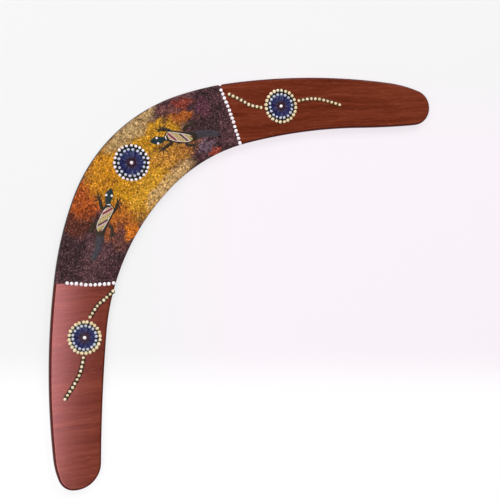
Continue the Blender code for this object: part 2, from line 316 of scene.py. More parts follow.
def elbow_mask(tree, where):
    """1 between the two rows of white dots, where the rim is painted, and 0 elsewhere."""
    left = side_of_line(tree, where, *LEFT_END)
    right = side_of_line(tree, where, *reversed(RIGHT_END))
    inside = math_of(tree, "MINIMUM", left, right)
    return remap(tree, inside, -0.2, 0.2)


# ---- materials ----
def wavering(tree, where, reach, amount, detail=2.0, roughness=0.5):
    """A place moved about by up to so many millimetres, in swirls of that reach."""
    swirl = node(tree, "ShaderNodeTexNoise", {"Vector": where, "Scale": 1 / reach,
                                              "Detail": detail, "Roughness": roughness})
    offset = vector_of(tree, "SUBTRACT", swirl.outputs["Color"], (0.5, 0.5, 0.5))
    return vector_of(tree, "ADD", where, vector_of(tree, "SCALE", offset, scale=2.0 * amount))


def along_grain(tree, where, length, width):
    """Coordinates that are stretched along the grain: its streaks' length and width."""
    return turned_and_scaled(tree, where, GRAIN_HEADING, (1 / length, 1 / width, 1 / width))


def stained_veneer(name, roughness, coat, specular):
    """Red-brown stain over straight grain, with painted shade that darkens the rounded rim as it
    turns away from the top.
    """
    made, tree, shader = new_material(name, roughness, coat=coat, coat_roughness=0.1,
                                      specular=specular)
    shader.inputs["Specular Tint"].default_value = linear((255, 158, 168))
    where = position(tree)
    wood = wavering(tree, where, 60.0, 4.0)
    streaks = noise_at(tree, along_grain(tree, wood, 50.0, 2.2), 4.0, 0.6)
    broad = noise_at(tree, along_grain(tree, wood, 120.0, 8.0), 3.0, 0.5)
    pores = noise_at(tree, along_grain(tree, wood, 14.0, 0.6), 2.0, 0.5)
    tone = math_of(tree, "ADD", math_of(tree, "MULTIPLY", streaks, 0.5),
                   math_of(tree, "MULTIPLY", broad, 0.5))
    colour = ramp(tree, tone, ((0.36, (97, 38, 20)), (0.5, (113, 47, 28)), (0.64, (130, 61, 39))))
    colour = mix(tree, remap(tree, pores, 0.56, 0.64, 0.0, 0.26), colour, linear((66, 24, 15)))
    # Pale flecks along the grain: partly the wood's own pale ticks, partly painted glints that
    # stand in for the lacquer's sheen breaking up on the grain.
    flecks = noise_at(tree, along_grain(tree, wood, 7.0, 0.6), 1.0, 0.5)
    colour = mix(tree, remap(tree, flecks, 0.62, 0.72, 0.0, 0.22), colour, linear((176, 104, 84)))
    # Painted shade: the rounded rim, on top and underneath, darkens as its normal turns away from
    # straight up, standing in for the shade that falls on it.
    normal = node(tree, "ShaderNodeNewGeometry").outputs["Normal"]
    rim_shade_facing = math_of(tree, "ABSOLUTE", up_part(tree, normal))
    colour = mix(tree, remap(tree, rim_shade_facing, 0.998, 0.96, 0.0, 0.9), colour, linear((70, 22, 14)))
    # The elbow's paint runs over the rim and ends unevenly, just short of the underside.
    above_back = math_of(tree, "ADD", up_part(tree, where), streaks)
    painted = math_of(tree, "MINIMUM", elbow_mask(tree, where), remap(tree, above_back, 0.7, 1.0))
    colour = mix(tree, painted, colour, linear((38, 24, 24)))
    connect(tree, colour, shader, "Base Color")
    height = math_of(tree, "ADD", math_of(tree, "MULTIPLY", streaks, 0.6),
                     math_of(tree, "MULTIPLY", pores, 0.4))
    bump(tree, shader, height, 0.03)
    return made


def stained_edge(name, dark, light):
    """The cut edge of a ply, darker than its face and painted over at the elbow."""
    made, tree, shader = new_material(name, 0.6, coat=0.15, coat_roughness=0.3, specular=0.2)
    fibres = noise_at(tree, position(tree, GRAIN_HEADING, (1 / 2.5, 1 / 0.8, 1 / 0.25)), 4.0, 0.6)
    colour = ramp(tree, fibres, ((0.35, dark), (0.65, light)))
    painted = elbow_mask(tree, position(tree))
    colour = mix(tree, painted, colour, linear((30, 20, 22)))
    connect(tree, colour, shader, "Base Color")
    bump(tree, shader, fibres, 0.06)
    return made


def dot_paint(name, one, other, spot):
    """Glossy drops of paint that differ a little from one to the next."""
    made, tree, shader = new_material(name, 0.32, coat=0.8, coat_roughness=0.22)
    where = position(tree)
    drift = noise_at(tree, where, 2.0, 0.5, scale=1 / 9.0)
    cells = noise_at(tree, where, 1.0, 0.5, scale=1 / 2.6)
    colour = ramp(tree, drift, ((0.35, one), (0.65, other)))
    colour = mix(tree, remap(tree, cells, 0.5, 0.75, 0.0, 0.55), colour, linear(spot))
    connect(tree, colour, shader, "Base Color")
    bump(tree, shader, noise_at(tree, where, 3.0, 0.5, scale=1 / 0.5), 0.02)
    return made


def flat_paint(name, dark, light, mottle=1.6):
    """A brushed film of one colour, mottled where it is thin."""
    made, tree, shader = new_material(name, 0.4, coat=0.08, coat_roughness=0.2, specular=0.25)
    blotches = noise_at(tree, position(tree), 4.0, 0.6, scale=1 / mottle)
    connect(tree, ramp(tree, blotches, ((0.35, dark), (0.65, light))), shader, "Base Color")
    bump(tree, shader, blotches, 0.04)
    return made


def iris_paint():
    """Navy with fine strokes that run out from the middle, teal and purple between."""
    made, tree, shader = new_material("iris_paint", 0.4, coat_roughness=0.2, specular=0.12)
    level = vector_of(tree, "MULTIPLY", position(tree), LEVEL)
    radius = vector_of(tree, "LENGTH", level)
    round_about = vector_of(tree, "SCALE", vector_of(tree, "NORMALIZE", level), scale=4.5)
    outwards = node(tree, "ShaderNodeCombineXYZ", {2: math_of(tree, "MULTIPLY", radius, 0.16)})
    strokes = vector_of(tree, "ADD", round_about, outwards.outputs[0])
    strokes = noise_at(tree, strokes, 3.0, 0.65)
    colour = ramp(tree, strokes, ((0.34, (8, 10, 26)), (0.43, (24, 28, 74)),
                                  (0.50, (50, 44, 94)), (0.55, (16, 50, 84)),
                                  (0.64, (112, 100, 132))))
    uneven = math_of(tree, "ADD", radius, math_of(tree, "MULTIPLY", strokes, 5.0))
    colour = mix(tree, remap(tree, uneven, 4.8, 8.4, 0.85, 0.0, smooth=True), colour,
                 linear((60, 38, 46)))
    connect(tree, colour, shader, "Base Color")
    bump(tree, shader, strokes, 0.08)
    return made


def panel_patch_group():
    """A node group that lays one soft-edged oval patch of colour over another colour."""
    group = bpy.data.node_groups.new("panel_patch", "ShaderNodeTree")
    face = group.interface
    for name, kind in (("Under", "NodeSocketColor"), ("Place", "NodeSocketVector"),
                       ("Centre", "NodeSocketVector"), ("Reach", "NodeSocketVector"),
                       ("Turn", "NodeSocketFloat"), ("Colour", "NodeSocketColor"),
                       ("Strength", "NodeSocketFloat")):
        face.new_socket(name, in_out="INPUT", socket_type=kind)
    face.new_socket("Result", in_out="OUTPUT", socket_type="NodeSocketColor")
    given = group.nodes.new("NodeGroupInput")
    result = group.nodes.new("NodeGroupOutput")
    offset = vector_of(group, "SUBTRACT", given.outputs["Place"], given.outputs["Centre"])
    turned = node(group, "ShaderNodeVectorRotate",
                  {"Vector": offset, "Angle": given.outputs["Turn"]},
                  rotation_type="Z_AXIS", invert=True)
    shrunk = vector_of(group, "DIVIDE", turned.outputs[0], given.outputs["Reach"])
    near = remap(group, vector_of(group, "LENGTH", shrunk), 0.6, 1.15, 1.0, 0.0, smooth=True)
    weight = math_of(group, "MULTIPLY", near, given.outputs["Strength"])
    colour = mix(group, weight, given.outputs["Under"], given.outputs["Colour"])
    group.links.new(colour, result.inputs["Result"])
    return group


# The painted elbow's composition, from the first layer to the last: the middle of each
# soft patch, its reach along and across, its turn, its colour and how strongly it covers.
PANEL_PATCHES = (
    ((-84, 44), (16, 11), 40, (54, 31, 38), 0.8),
    ((-66, 33), (15, 8), 25, (100, 68, 74), 0.6),
    ((-80, 24), (10, 6), 30, (88, 58, 64), 0.6),
    ((-59, 58), (16, 14), 40, (92, 42, 24), 0.95),
    ((-46, 64), (15, 16), 60, (176, 82, 18), 0.95),
    ((-45, 38), (15, 9), 30, (158, 84, 36), 0.9),
    ((-50, 25), (9, 6), 20, (112, 66, 60), 0.8),
    ((-12, 50), (30, 34), 0, (204, 144, 16), 1.0),
    ((-34, 38), (9, 11), 40, (192, 108, 28), 0.85),
    ((-38, 24), (8, 6), 20, (228, 128, 22), 0.9),
    ((-26, 68), (16, 14), 30, (206, 136, 20), 0.85),
    ((22, 60), (24, 10), -20, (198, 142, 20), 0.95),
    ((22, 41), (18, 9), -15, (196, 136, 48), 0.95),
    ((-9, 37), (22, 9), 5, (214, 158, 40), 0.85),
    ((34, 37), (12, 5), -20, (150, 88, 38), 0.7),
    ((46, 56), (11, 5), -35, (170, 90, 28), 0.9),
    ((12, 75), (26, 7.5), -3, (188, 156, 106), 0.95),
    ((5, 28), (26, 6.5), 0, (206, 168, 112), 0.95),
    ((43, 66), (10, 4), -30, (118, 70, 66), 0.85),
    ((54, 62), (10, 3.5), -38, (144, 56, 40), 0.85),
    ((57, 38), (9, 12), 0, (54, 34, 40), 0.85),
    ((63, 49), (5, 9), -30, (106, 54, 74), 0.6),
    ((44, 29), (9, 5), -25, (110, 88, 106), 0.85),
    ((46.5, 20.5), (5, 2.6), -25, (166, 68, 52), 0.95),
)


def panel_paint():
    """Sponged paint: soft patches of colour, broken up by fine dark flecks and by light flecks
    that are painted glints, standing in for highlights on the sponged relief.
    """
    made, tree, shader = new_material("panel_paint", 0.55, coat=0.04, coat_roughness=0.2,
                                      specular=0.12)
    where = position(tree)
    loose = wavering(tree, where, 6.0, 10.0, detail=5.0, roughness=0.7)
    flat = vector_of(tree, "MULTIPLY", loose, LEVEL)
    plum = noise_at(tree, where, 4.0, 0.65, scale=1 / 10.0)
    colour = ramp(tree, plum, ((0.35, (54, 32, 38)), (0.5, (74, 45, 52)), (0.65, (102, 66, 74))))
    group = panel_patch_group()
    for centre, reach, turn, tint, strength in PANEL_PATCHES:
        patch = node(tree, "ShaderNodeGroup",
                     {"Under": colour, "Place": flat, "Centre": (*centre, 0.0),
                      "Reach": (*reach, 1.0), "Turn": math.radians(turn),
                      "Colour": linear(tint), "Strength": strength}, node_tree=group)
        colour = patch.outputs["Result"]
    blotch = noise_at(tree, where, 3.0, 0.6, scale=1 / 3.2)
    colour = mix(tree, 1.0, colour, ramp(tree, blotch, ((0.36, (196, 190, 184)),
                                                         (0.6, (255, 255, 255)))), "MULTIPLY")
    dark = noise_at(tree, position(tree, 20.0), 1.0, 0.5, scale=1 / 1.4)
    colour = mix(tree, remap(tree, dark, 0.50, 0.68, 0.0, 0.8), colour, linear((132, 96, 66)),
                 "MULTIPLY")
    # Painted glints: light flecks, brightened and lifted, that stand in for highlights on the
    # sponged paint.
    painted_glints = noise_at(tree, position(tree, 55.0), 1.0, 0.5, scale=1 / 1.2)
    glint_colour = mix(tree, 1.0, colour, (1.9, 1.95, 1.7, 1.0), "MULTIPLY")
    glint_colour = mix(tree, 1.0, glint_colour, linear((74, 60, 58)), "ADD")
    colour = mix(tree, remap(tree, painted_glints, 0.55, 0.68), colour, glint_colour)
    connect(tree, colour, shader, "Base Color")
    bump(tree, shader, noise_at(tree, where, 4.0, 0.65, scale=1 / 0.6), 0.1)
    return made


def make_paints():
    """The paints of the dots, films and strokes, by their plain names."""
    return {
        "white": dot_paint("white_drops", (254, 248, 252), (244, 230, 238), (255, 253, 255)),
        "cream": dot_paint("cream_drops", (244, 224, 184), (228, 202, 152), (254, 244, 216)),
        "pale_blue": dot_paint("pale_blue_drops", (190, 196, 216), (206, 206, 220),
                               (156, 178, 206)),
        "black": flat_paint("black_film", (14, 14, 20), (32, 28, 34)),
        "black_brown": flat_paint("black_brown_film", (24, 16, 10), (48, 32, 14)),
        "brown": flat_paint("brown_film", (44, 22, 10), (92, 54, 18)),
        "iris": iris_paint(),
        "plum": flat_paint("plum_film", (38, 22, 32), (66, 34, 50), mottle=1.0),
        "umber": flat_paint("umber_film", (26, 20, 16), (58, 44, 22)),
        "slate": flat_paint("slate_film", (46, 42, 48), (68, 62, 70)),
        "teal": flat_paint("teal_film", (14, 24, 30), (36, 58, 60), mottle=1.3),
        "dark_red": flat_paint("dark_red_film", (96, 18, 34), (136, 36, 56)),
        "pink": flat_paint("pink_film", (184, 136, 156), (212, 174, 184)),
        "pale_cream": flat_paint("pale_cream_film", (180, 152, 96), (206, 184, 136)),
        "olive": flat_paint("olive_film", (140, 130, 60), (176, 166, 90)),
    }


# ---- outlines and paths ----
def arc_points(start, heading, radius, turn):
    """Points along an arc after its start, and its end's heading; all angles clockwise."""
    side = 1.0 if radius > 0 else -1.0
    length = abs(radius) * math.radians(turn)
    steps = max(math.ceil(length / LONGEST_CHORD), math.ceil(turn / WIDEST_STEP))
    step = side * math.radians(turn) / steps
    chord = 2.0 * abs(radius) * math.sin(abs(step) / 2.0)
    points = []
    at = start
    for _ in range(steps):
        towards = heading - step / 2.0
        at = (at[0] + chord * math.cos(towards), at[1] + chord * math.sin(towards))
        heading -= step
        points.append(at)
    return points, heading


def side_outline(start, arcs, hollows, end):
    """Points from start, heading along +X, round a tip to end, heading along -X."""
    points = [start]
    heading = 0.0
    for radius, turn in arcs:
        more, heading = arc_points(points[-1], heading, radius, turn)
        points += more
    chords = []
    towards = heading
    for turn in hollows:
        half_turn = math.radians(turn) / 2.0
        towards += half_turn
        chords.append(Vector((math.cos(towards), math.sin(towards))) * 2.0 * math.sin(half_turn))
        towards += half_turn
    gap = Vector(end) - Vector(points[-1])
    area = chords[0].cross(chords[1])
    radii = (gap.cross(chords[1]) / area, chords[0].cross(gap) / area)
    for radius, turn in zip(radii, hollows):
        more, heading = arc_points(points[-1], heading, -radius, turn)
        points += more
    return points


def board_outline():
    """The whole outline as (x, y) points, clockwise from the elbow's outer point."""
    right = side_outline(ELBOW_OUTER, RIGHT_ARCS, RIGHT_HOLLOWS, ELBOW_INNER)
    left = side_outline((-ELBOW_OUTER[0], ELBOW_OUTER[1]), LEFT_ARCS, LEFT_HOLLOWS,
                        (-ELBOW_INNER[0], ELBOW_INNER[1]))
    mirrored = [(-x, y) for x, y in reversed(left[1:-1])]
    return [Vector(p) for p in right + mirrored]


def inset(points, distance):
    """A clockwise outline moved inwards along its corners' bisectors."""
    moved = []
    for i, point in enumerate(points):
        along = (points[(i + 1) % len(points)] - points[i - 1]).normalized()
        moved.append(point + Vector((along.y, -along.x)) * distance)
    return moved


def smooth_path(through, steps=10):
    """Points of a Catmull-Rom curve through the given ones."""
    ends = [Vector(p) for p in through]
    ends = [2 * ends[0] - ends[1]] + ends + [2 * ends[-1] - ends[-2]]
    path = []
    for a, b, c, d in zip(ends, ends[1:], ends[2:], ends[3:]):
        for i in range(steps):
            t = i / steps
            path.append(0.5 * (2 * b + (c - a) * t + (2 * a - 5 * b + 4 * c - d) * t**2
                               + (3 * b - a - 3 * c + d) * t**3))
    path.append(ends[-2])
    return path


def evenly(path, count):
    """So many points at equal distances along a path, from end to end."""
    lengths = [0.0]
    for a, b in zip(path, path[1:]):
        lengths.append(lengths[-1] + (b - a).length)
    spots = []
    for i in range(count):
        want = lengths[-1] * i / (count - 1)
        leg = next(j for j in range(1, len(path)) if lengths[j] >= want - 1e-9)
        part = (want - lengths[leg - 1]) / max(lengths[leg] - lengths[leg - 1], 1e-9)
        spots.append(path[leg - 1].lerp(path[leg], part))
    return spots


# ---- mesh builders ----
def piece(name, work, materials, slot, *nodes, origin=(0.0, 0.0), smooth=35.0):
    """An object from a bmesh in millimetres, riding on the board and standing for nodes."""
    bmesh.ops.translate(work, verts=work.verts, vec=(-origin[0], -origin[1], 0.0))
    bmesh.ops.scale(work, verts=work.verts, vec=(MM, MM, MM))
    bmesh.ops.recalc_face_normals(work, faces=work.faces)
    mesh = bpy.data.meshes.new(name)
    work.to_mesh(mesh)
    work.free()
    for material in materials:
        mesh.materials.append(material)
    mesh.shade_smooth()
    mesh.set_sharp_from_angle(angle=math.radians(smooth))
    obj = bpy.data.objects.new(name, mesh)
    obj.location = (origin[0] * MM, origin[1] * MM, 0.0)
    bpy.context.scene.collection.objects.link(obj)
    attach(obj, "root")
    if nodes:
        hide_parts(*nodes)
    return obj


def loft(work, rings):
    """Joins rings of as many points each into a skin, with its ends closed."""
    made = [[work.verts.new(p) for p in ring] for ring in rings]
    for below, above in zip(made, made[1:]):
        for i in range(len(below)):
            j = (i + 1) % len(below)
            work.faces.new((below[i], below[j], above[j], above[i]))
    work.faces.new(made[0][::-1])
    work.faces.new(made[-1])


def some_angles(rng, count):
    return [rng.uniform(0.0, FULL_TURN) for _ in range(count)]


def around(centre, reach, angle, height):
    """The point so far from a centre, at an angle and a height."""
    return (centre[0] + reach * math.cos(angle), centre[1] + reach * math.sin(angle), height)


# A drop's shape, from its foot in to its dimple: parts of its radius and of its rise.
DROP_PROFILE = ((1.0, 0.0), (0.99, 0.30), (0.90, 0.62), (0.74, 0.86), (0.52, 0.99),
                (0.30, 1.0), (0.13, 0.93))
DROP_SIDES = 18


def drop(work, centre, base, radius, rise, rng):
    """A round drop of thick paint, a little uneven, with the dimple a stylus leaves."""
    phases = some_angles(rng, 3)
    swell = rng.uniform(0.92, 1.06)
    rings = []
    for out, up in DROP_PROFILE:
        ring = []
        for i in range(DROP_SIDES):
            angle = FULL_TURN * i / DROP_SIDES
            uneven = 1.0 + 0.045 * math.sin(2 * angle + phases[0])
            uneven += 0.025 * math.sin(3 * angle + phases[1])
            lift = rise * up * (1.0 + 0.06 * math.sin(angle + phases[2]) * out)
            ring.append(around(centre, radius * swell * out * uneven, angle, base + lift))
        rings.append(ring)
    loft(work, rings)


def stroke(work, path, width, base, rise, rng, taper=0.0):
    """A brush stroke: a low rounded ribbon along a path. taper narrows its far end."""
    phases = some_angles(rng, 2)
    length = sum((b - a).length for a, b in zip(path, path[1:]))
    count = max(6, math.ceil(length / STROKE_STEP))
    path = evenly(path, count)
    gone = 0.0
    rings = []
    for i, spot in enumerate(path):
        if i:
            gone += (spot - path[i - 1]).length
        half = width / 2.0 * (1.0 - taper * gone / max(length, 1e-9))
        end_gap = max(min(gone, length - gone), 0.0)
        round_end = min(end_gap / half, 1.0)
        half *= max(math.sqrt(1.0 - (1.0 - round_end) ** 2), 0.2)
        before = path[max(i - 1, 0)]
        after = path[min(i + 1, count - 1)]
        along = (after - before).normalized()
        across = Vector((-along.y, along.x))
        ring = []
        for k in range(STROKE_COLUMNS):
            side = -1.0 + 2.0 * k / (STROKE_COLUMNS - 1)
            uneven = 1.0 + 0.07 * math.sin(gone * 1.9 / width * 3.0 + phases[side > 0])
            at = spot + across * half * side * uneven
            lift = rise * math.sqrt(max(0.0, 1.0 - side**2))
            ring.append((at.x, at.y, base + lift))
        rings.append(ring)
    loft(work, rings)


def disc(work, centre, radius, base, rise, rng, uneven=0.01, sides=72):
    """A flat round film with a soft, slightly uneven edge."""
    phases = some_angles(rng, 4)
    rings = []
    for out, up in ((1.0, 0.0), (0.995, 0.6), (0.98, 0.95), (0.95, 1.0)):
        ring = []
        for i in range(sides):
            angle = FULL_TURN * i / sides
            wave = sum(math.sin((3 + 4 * k) * angle + p) for k, p in enumerate(phases))
            reach = radius * out * (1.0 + uneven * wave / 2.0)
            ring.append(around(centre, reach, angle, base + rise * up))
        rings.append(ring)
    loft(work, rings)


# ---- the board ----
def round_off(depth):
    """How far the rounded rim falls away, so far in from where its curve ends."""
    reach = EDGE_ROUND - min(depth, EDGE_ROUND)
    return EDGE_ROUND - math.sqrt(max(0.0, EDGE_ROUND**2 - reach**2))


def rim_inset(z):
    """How far the rounded rim stands in from the outline at a height."""
    return round_off(min(z - BOARD_LOW, BOARD_TOP - z))


def make_plies(outline):
    """The five plies, each a slice of the board with its own stretch of the rounded rim."""
    veneer = [stained_veneer("stained_veneer", 0.13, 0.2, 1.0),
              # The rim's look: the same stained wood with its painted shade, under a duller
              # lacquer.
              stained_veneer("stained_dull_rim_painted_shade", 0.5, 0.05, 0.3)]
    crossband = [stained_edge("crossband_edge", (56, 20, 14), (80, 30, 20))]
    core = [stained_edge("core_edge", (72, 28, 18), (98, 40, 26))]
    looks = (veneer, crossband, core, crossband, veneer)
    turns = [math.pi / 2.0 * k / ROUND_STEPS for k in range(ROUND_STEPS + 1)]
    bends = [EDGE_ROUND * (1.0 - math.cos(t)) for t in turns]
    levels = [BOARD_LOW + b for b in bends] + [BOARD_TOP - b for b in bends]
    for name, look in zip(PLIES, looks):
        low, high = (corner.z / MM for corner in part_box(name))
        heights = [low] + sorted(z for z in levels if low + 0.02 < z < high - 0.02) + [high]
        work = bmesh.new()
        rings = [[(p.x, p.y, z) for p in inset(outline, SET_IN + rim_inset(z))] for z in heights]
        inner = [(p.x, p.y) for p in inset(outline, EDGE_ROUND + LEVEL_BORDER)]
        rings.insert(0, [(x, y, heights[0]) for x, y in inner])
        rings.append([(x, y, heights[-1]) for x, y in inner])
        loft(work, rings)
        work.normal_update()
        for face in work.faces:
            face.material_index = int(look is veneer and abs(face.normal.z) < RIM_FACING)
        slot = "stained_veneer" if look is veneer else "stained_edge"
        piece(name + "_wood", work, look, slot, name)


# ---- the painted elbow ----
def crossing(points, start, end, after=0):
    """Where an outline first crosses the line through start and end: index and point."""
    start, end = Vector(start), Vector(end)
    along = (end - start).normalized()
    normal = Vector((-along.y, along.x))
    gaps = [(p - start).dot(normal) for p in points]
    for i in range(after, len(points) - 1):
        if (gaps[i] <= 0.0) != (gaps[i + 1] <= 0.0):
            part = gaps[i] / (gaps[i] - gaps[i + 1])
            return i, points[i].lerp(points[i + 1], part)
    raise ValueError("the line doesn't cross the outline")


def elbow_sides(outline):
    """The elbow's outer and inner edges between the two rows of dots, left to right."""
    lowest = min(range(len(outline)), key=lambda i: outline[i].y)
    tips = sorted((lowest, len(outline) - lowest))
    outer = outline[tips[1]:] + outline[:tips[0]]
    inner = outline[tips[0]:tips[1]][::-1]
    sides = []
    for edge in (outer, inner):
        first, left = crossing(edge, *LEFT_END)
        last, right = crossing(edge, *RIGHT_END, after=first + 2)
        sides.append([left] + edge[first + 1:last + 1] + [right])
    return sides


def sponge_relief(x, y):
    """The height of the sponged paint at a place, from 0 to 1."""
    coarse = noise.noise(Vector((x / 1.7, y / 1.7, 3.1)))
    fine = noise.noise(Vector((x / 0.95, y / 0.95, 8.4)))
    peaks = 1.0 - 2.0 * abs(noise.noise(Vector((x / 2.6, y / 2.6, 5.7))))
    return min(max(0.45 + 0.38 * coarse + 0.32 * fine + 0.18 * peaks, 0.0), 1.0)


def make_panel(outline):
    """The film of sponged paint, which wraps over both rims of the elbow."""
    outer, inner = elbow_sides(outline)
    stations = math.ceil(sum((b - a).length for a, b in zip(outer, outer[1:])) / FILM_CELL)
    outer, inner = evenly(outer, stations), evenly(inner, stations)
    widest = max((a - b).length for a, b in zip(outer, inner))
    columns = math.ceil(widest / FILM_CELL)
    work = bmesh.new()
    rows = []
    for i, (top, foot) in enumerate(zip(outer, inner)):
        along = (outer[min(i + 1, stations - 1)] - outer[max(i - 1, 0)]).normalized()
        inner_along = (inner[min(i + 1, stations - 1)] - inner[max(i - 1, 0)]).normalized()
        row = []
        for k in range(columns + 1):
            bare = BARE_RIM / (top - foot).length
            at = top.lerp(foot, bare + (1.0 - 2.0 * bare) * k / columns)
            from_outer = abs((at - top).dot(Vector((along.y, -along.x))))
            from_inner = abs((at - foot).dot(Vector((inner_along.y, -inner_along.x))))
            rim = min(from_outer, from_inner)
            relief = RELIEF * (sponge_relief(*at) - RELIEF_SUNK)
            lift = FILM_BASE + min(rim / FULL_COVER, 1.0) * (FILM - FILM_BASE + relief)
            row.append(work.verts.new((at.x, at.y, BOARD_TOP - round_off(rim) + lift)))
        rows.append(row)
    for row, following in zip(rows, rows[1:]):
        for k in range(columns):
            work.faces.new((row[k], row[k + 1], following[k + 1], following[k]))
    close_under(work, rows)
    piece("sponged_panel", work, [panel_paint()], "elbow_paint", "elbow_panel", smooth=60.0)


def close_under(work, rows):
    """Gives a sheet of rows an underside, one film lower than its edges, and end walls."""
    lowest = FILM_BASE
    under = []
    for row in rows:
        flat = BOARD_TOP - lowest / 2.0
        under.append([work.verts.new((v.co.x, v.co.y, min(v.co.z - lowest, flat))) for v in row])
    last = len(rows) - 1
    for i in range(last):
        near, far = under[i], under[i + 1]
        for k in range(len(near) - 1):
            work.faces.new((near[k], far[k], far[k + 1], near[k + 1]))
        work.faces.new((rows[i][0], rows[i + 1][0], far[0], near[0]))
        work.faces.new((rows[i][-1], near[-1], far[-1], rows[i + 1][-1]))
    for i, turned in ((0, False), (last, True)):
        for k in range(len(under[i]) - 1):
            wall = (rows[i][k], under[i][k], under[i][k + 1], rows[i][k + 1])
            work.faces.new(wall[::-1] if turned else wall)


# ---- rows, trails and roundels ----
def jitter(rng, amount=0.12):
    return Vector((rng.uniform(-amount, amount), rng.uniform(-amount, amount)))


def make_band(side, band, paint, rng):
    """A row of white dots, and one more on the rim beyond it."""
    through, count = band
    work = bmesh.new()
    for spot in evenly(smooth_path(through), count):
        drop(work, spot + jitter(rng, 0.2), ON_WOOD, BAND_DOT, DOT_RISE, rng)
    drop(work, RIM_DOTS[side], BOARD_TOP - RIM_DOT_DROP, RIM_DOT, RIM_DOT_RISE, rng)
    name = side + "_dot_band"
    piece(name + "_drops", work, [paint], "white_paint", name)


def make_trail(name, paints, rng):
    """A curving row of dots on a dark brushed line."""
    through, count, width = TRAILS[name]
    path = smooth_path(through)
    line = bmesh.new()
    overrun = TRAIL_DOT + TRAIL_OVERRUN
    first = path[0] - (path[1] - path[0]).normalized() * overrun
    last = path[-1] + (path[-1] - path[-2]).normalized() * overrun
    stroke(line, [first] + path + [last], width, ON_WOOD, STROKE_RISE, rng)
    backing = "brown" if name.startswith("right") else "black_brown"
    piece(name + "_line", line, [paints[backing]], "black_paint")
    work = bmesh.new()
    for spot in evenly(path, count):
        drop(work, spot + jitter(rng), ON_WOOD + STROKE_RISE * 0.7, TRAIL_DOT, DOT_RISE, rng)
    piece(name + "_drops", work, [paints["cream"]], "cream_paint", name)


def make_iris(centre, inner, base, rng):
    """The blue ring, with low ridges where the brush ran out from the middle."""
    work = bmesh.new()
    phases = some_angles(rng, 3)
    rings = []
    outer = inner - IRIS_TO_DOTS
    for out in IRIS_PROFILE:
        ring = []
        for i in range(IRIS_SIDES):
            angle = FULL_TURN * i / IRIS_SIDES
            ridge = math.sin(23 * angle + phases[0]) + 0.6 * math.sin(37 * angle + phases[1])
            at_foot = out in (IRIS_PROFILE[0], IRIS_PROFILE[-1])
            up = 0.0 if at_foot else IRIS_RISE + IRIS_RIDGE * ridge
            reach = outer * out * (1.0 + 0.006 * math.sin(5 * angle + phases[2]))
            ring.append(around(centre, reach, angle, base + up))
        rings.append(ring)
    loft(work, rings)
    return work


def make_roundel(place, paints, rng):
    """A dark disc with two rings of dots, a blue iris, a plum pupil and a white dot."""
    centre, outer, inner, on_panel = ROUNDELS[place]
    name = place + "_roundel_"
    base, rise, beyond, outer_dot, outer_paint = GROUNDS[on_panel]
    ground = bmesh.new()
    disc(ground, centre, outer + beyond, base, rise, rng)
    piece(name + "ground_film", ground, [paints["black"]], "black_paint", name + "ground")
    top = base + rise
    rings = (("outer_dots", outer, OUTER_DOTS, outer_dot, outer_paint),
             ("inner_dots", inner, INNER_DOTS, INNER_DOT, "pale_blue"))
    for label, radius, count, size, look in rings:
        work = bmesh.new()
        start = rng.uniform(0.0, FULL_TURN)
        for i in range(count):
            angle = start + FULL_TURN * (i + rng.uniform(-0.06, 0.06)) / count
            spot = Vector(centre) + Vector((math.cos(angle), math.sin(angle))) * radius
            drop(work, spot + jitter(rng), base, size, DOT_RISE + rise, rng)
        piece(name + label + "_drops", work, [paints[look]], look + "_paint", name + label)
    piece(name + "iris_ring", make_iris(centre, inner, top, rng), [paints["iris"]],
          "blue_paint", name + "iris", origin=centre)
    pupil = bmesh.new()
    disc(pupil, centre, PUPIL, top + FILM_BASE, PUPIL_RISE, rng, uneven=0.03, sides=48)
    piece(name + "pupil_film", pupil, [paints["plum"]], "plum_paint", name + "pupil")
    middle = bmesh.new()
    drop(middle, centre, top + PUPIL_RISE, CENTRE_DOT, DOT_RISE, rng)
    piece(name + "centre_drop", middle, [paints["white"]], "white_paint",
          name + "centre_dot")


# ---- the lizards ----
# Shapes on a lizard's own grid: millimetres ahead of the middle of its back, and to its
# left.
HEAD = ((21.8, -0.2), (19.6, 1.6), (16.4, 2.8), (13.2, 2.1), (10.4, 0.7), (9.4, -0.6),
        (10.2, -1.9), (13.0, -2.4), (16.4, -3.0), (19.6, -1.9))
BODY = ((11.0, 0.2), (8.0, 1.4), (4.6, 2.4), (0.0, 3.2), (-5.0, 4.2), (-9.6, 3.8),
        (-13.6, 1.8), (-12.8, -2.6), (-8.0, -3.6), (-2.0, -4.6), (3.0, -5.8), (7.6, -6.2),
        (10.6, -3.0))
BACK = ((9.4, -3.4), (7.2, -0.2), (3.6, 1.6), (-1.0, 2.6), (-5.4, 3.4), (-8.8, 3.0),
        (-10.3, 1.6), (-9.4, -0.6), (-6.0, -2.0), (-1.0, -3.4), (3.6, -4.6), (7.6, -5.3))
# Each limb: its path, and the toes' tips.
LIMBS = (
    (((5.0, 2.0), (8.0, 4.0), (12.2, 5.8)),
     ((13.2, 10.4), (9.2, 9.6), (16.4, 8.8), (15.8, 5.2))),
    (((4.6, -5.2), (8.2, -7.0), (12.6, -7.2)),
     ((13.0, -11.2), (17.0, -8.8), (15.8, -6.0), (8.4, -10.4))),
    (((-4.0, 3.2), (-6.4, 5.8), (-10.4, 6.2)),
     ((-10.4, 9.8), (-13.8, 8.6), (-14.6, 5.6), (-12.4, 4.0))),
    (((-4.0, -4.8), (-6.4, -7.6), (-10.0, -8.4)),
     ((-9.4, -12.2), (-12.8, -11.6), (-14.4, -8.8), (-12.8, -6.6))),
)
TAIL = ((-9.0, 0.4), (-15.0, -0.8), (-23.0, -1.0), (-31.0, 0.8))
EYES = ((15.9, 2.0), (16.4, -1.9))
COLLAR = ((9.3, 0.0), (9.9, -1.4), (9.7, -2.8))
FRONT_BAR = ((7.8, -0.2), (8.4, -1.8), (8.1, -3.8))
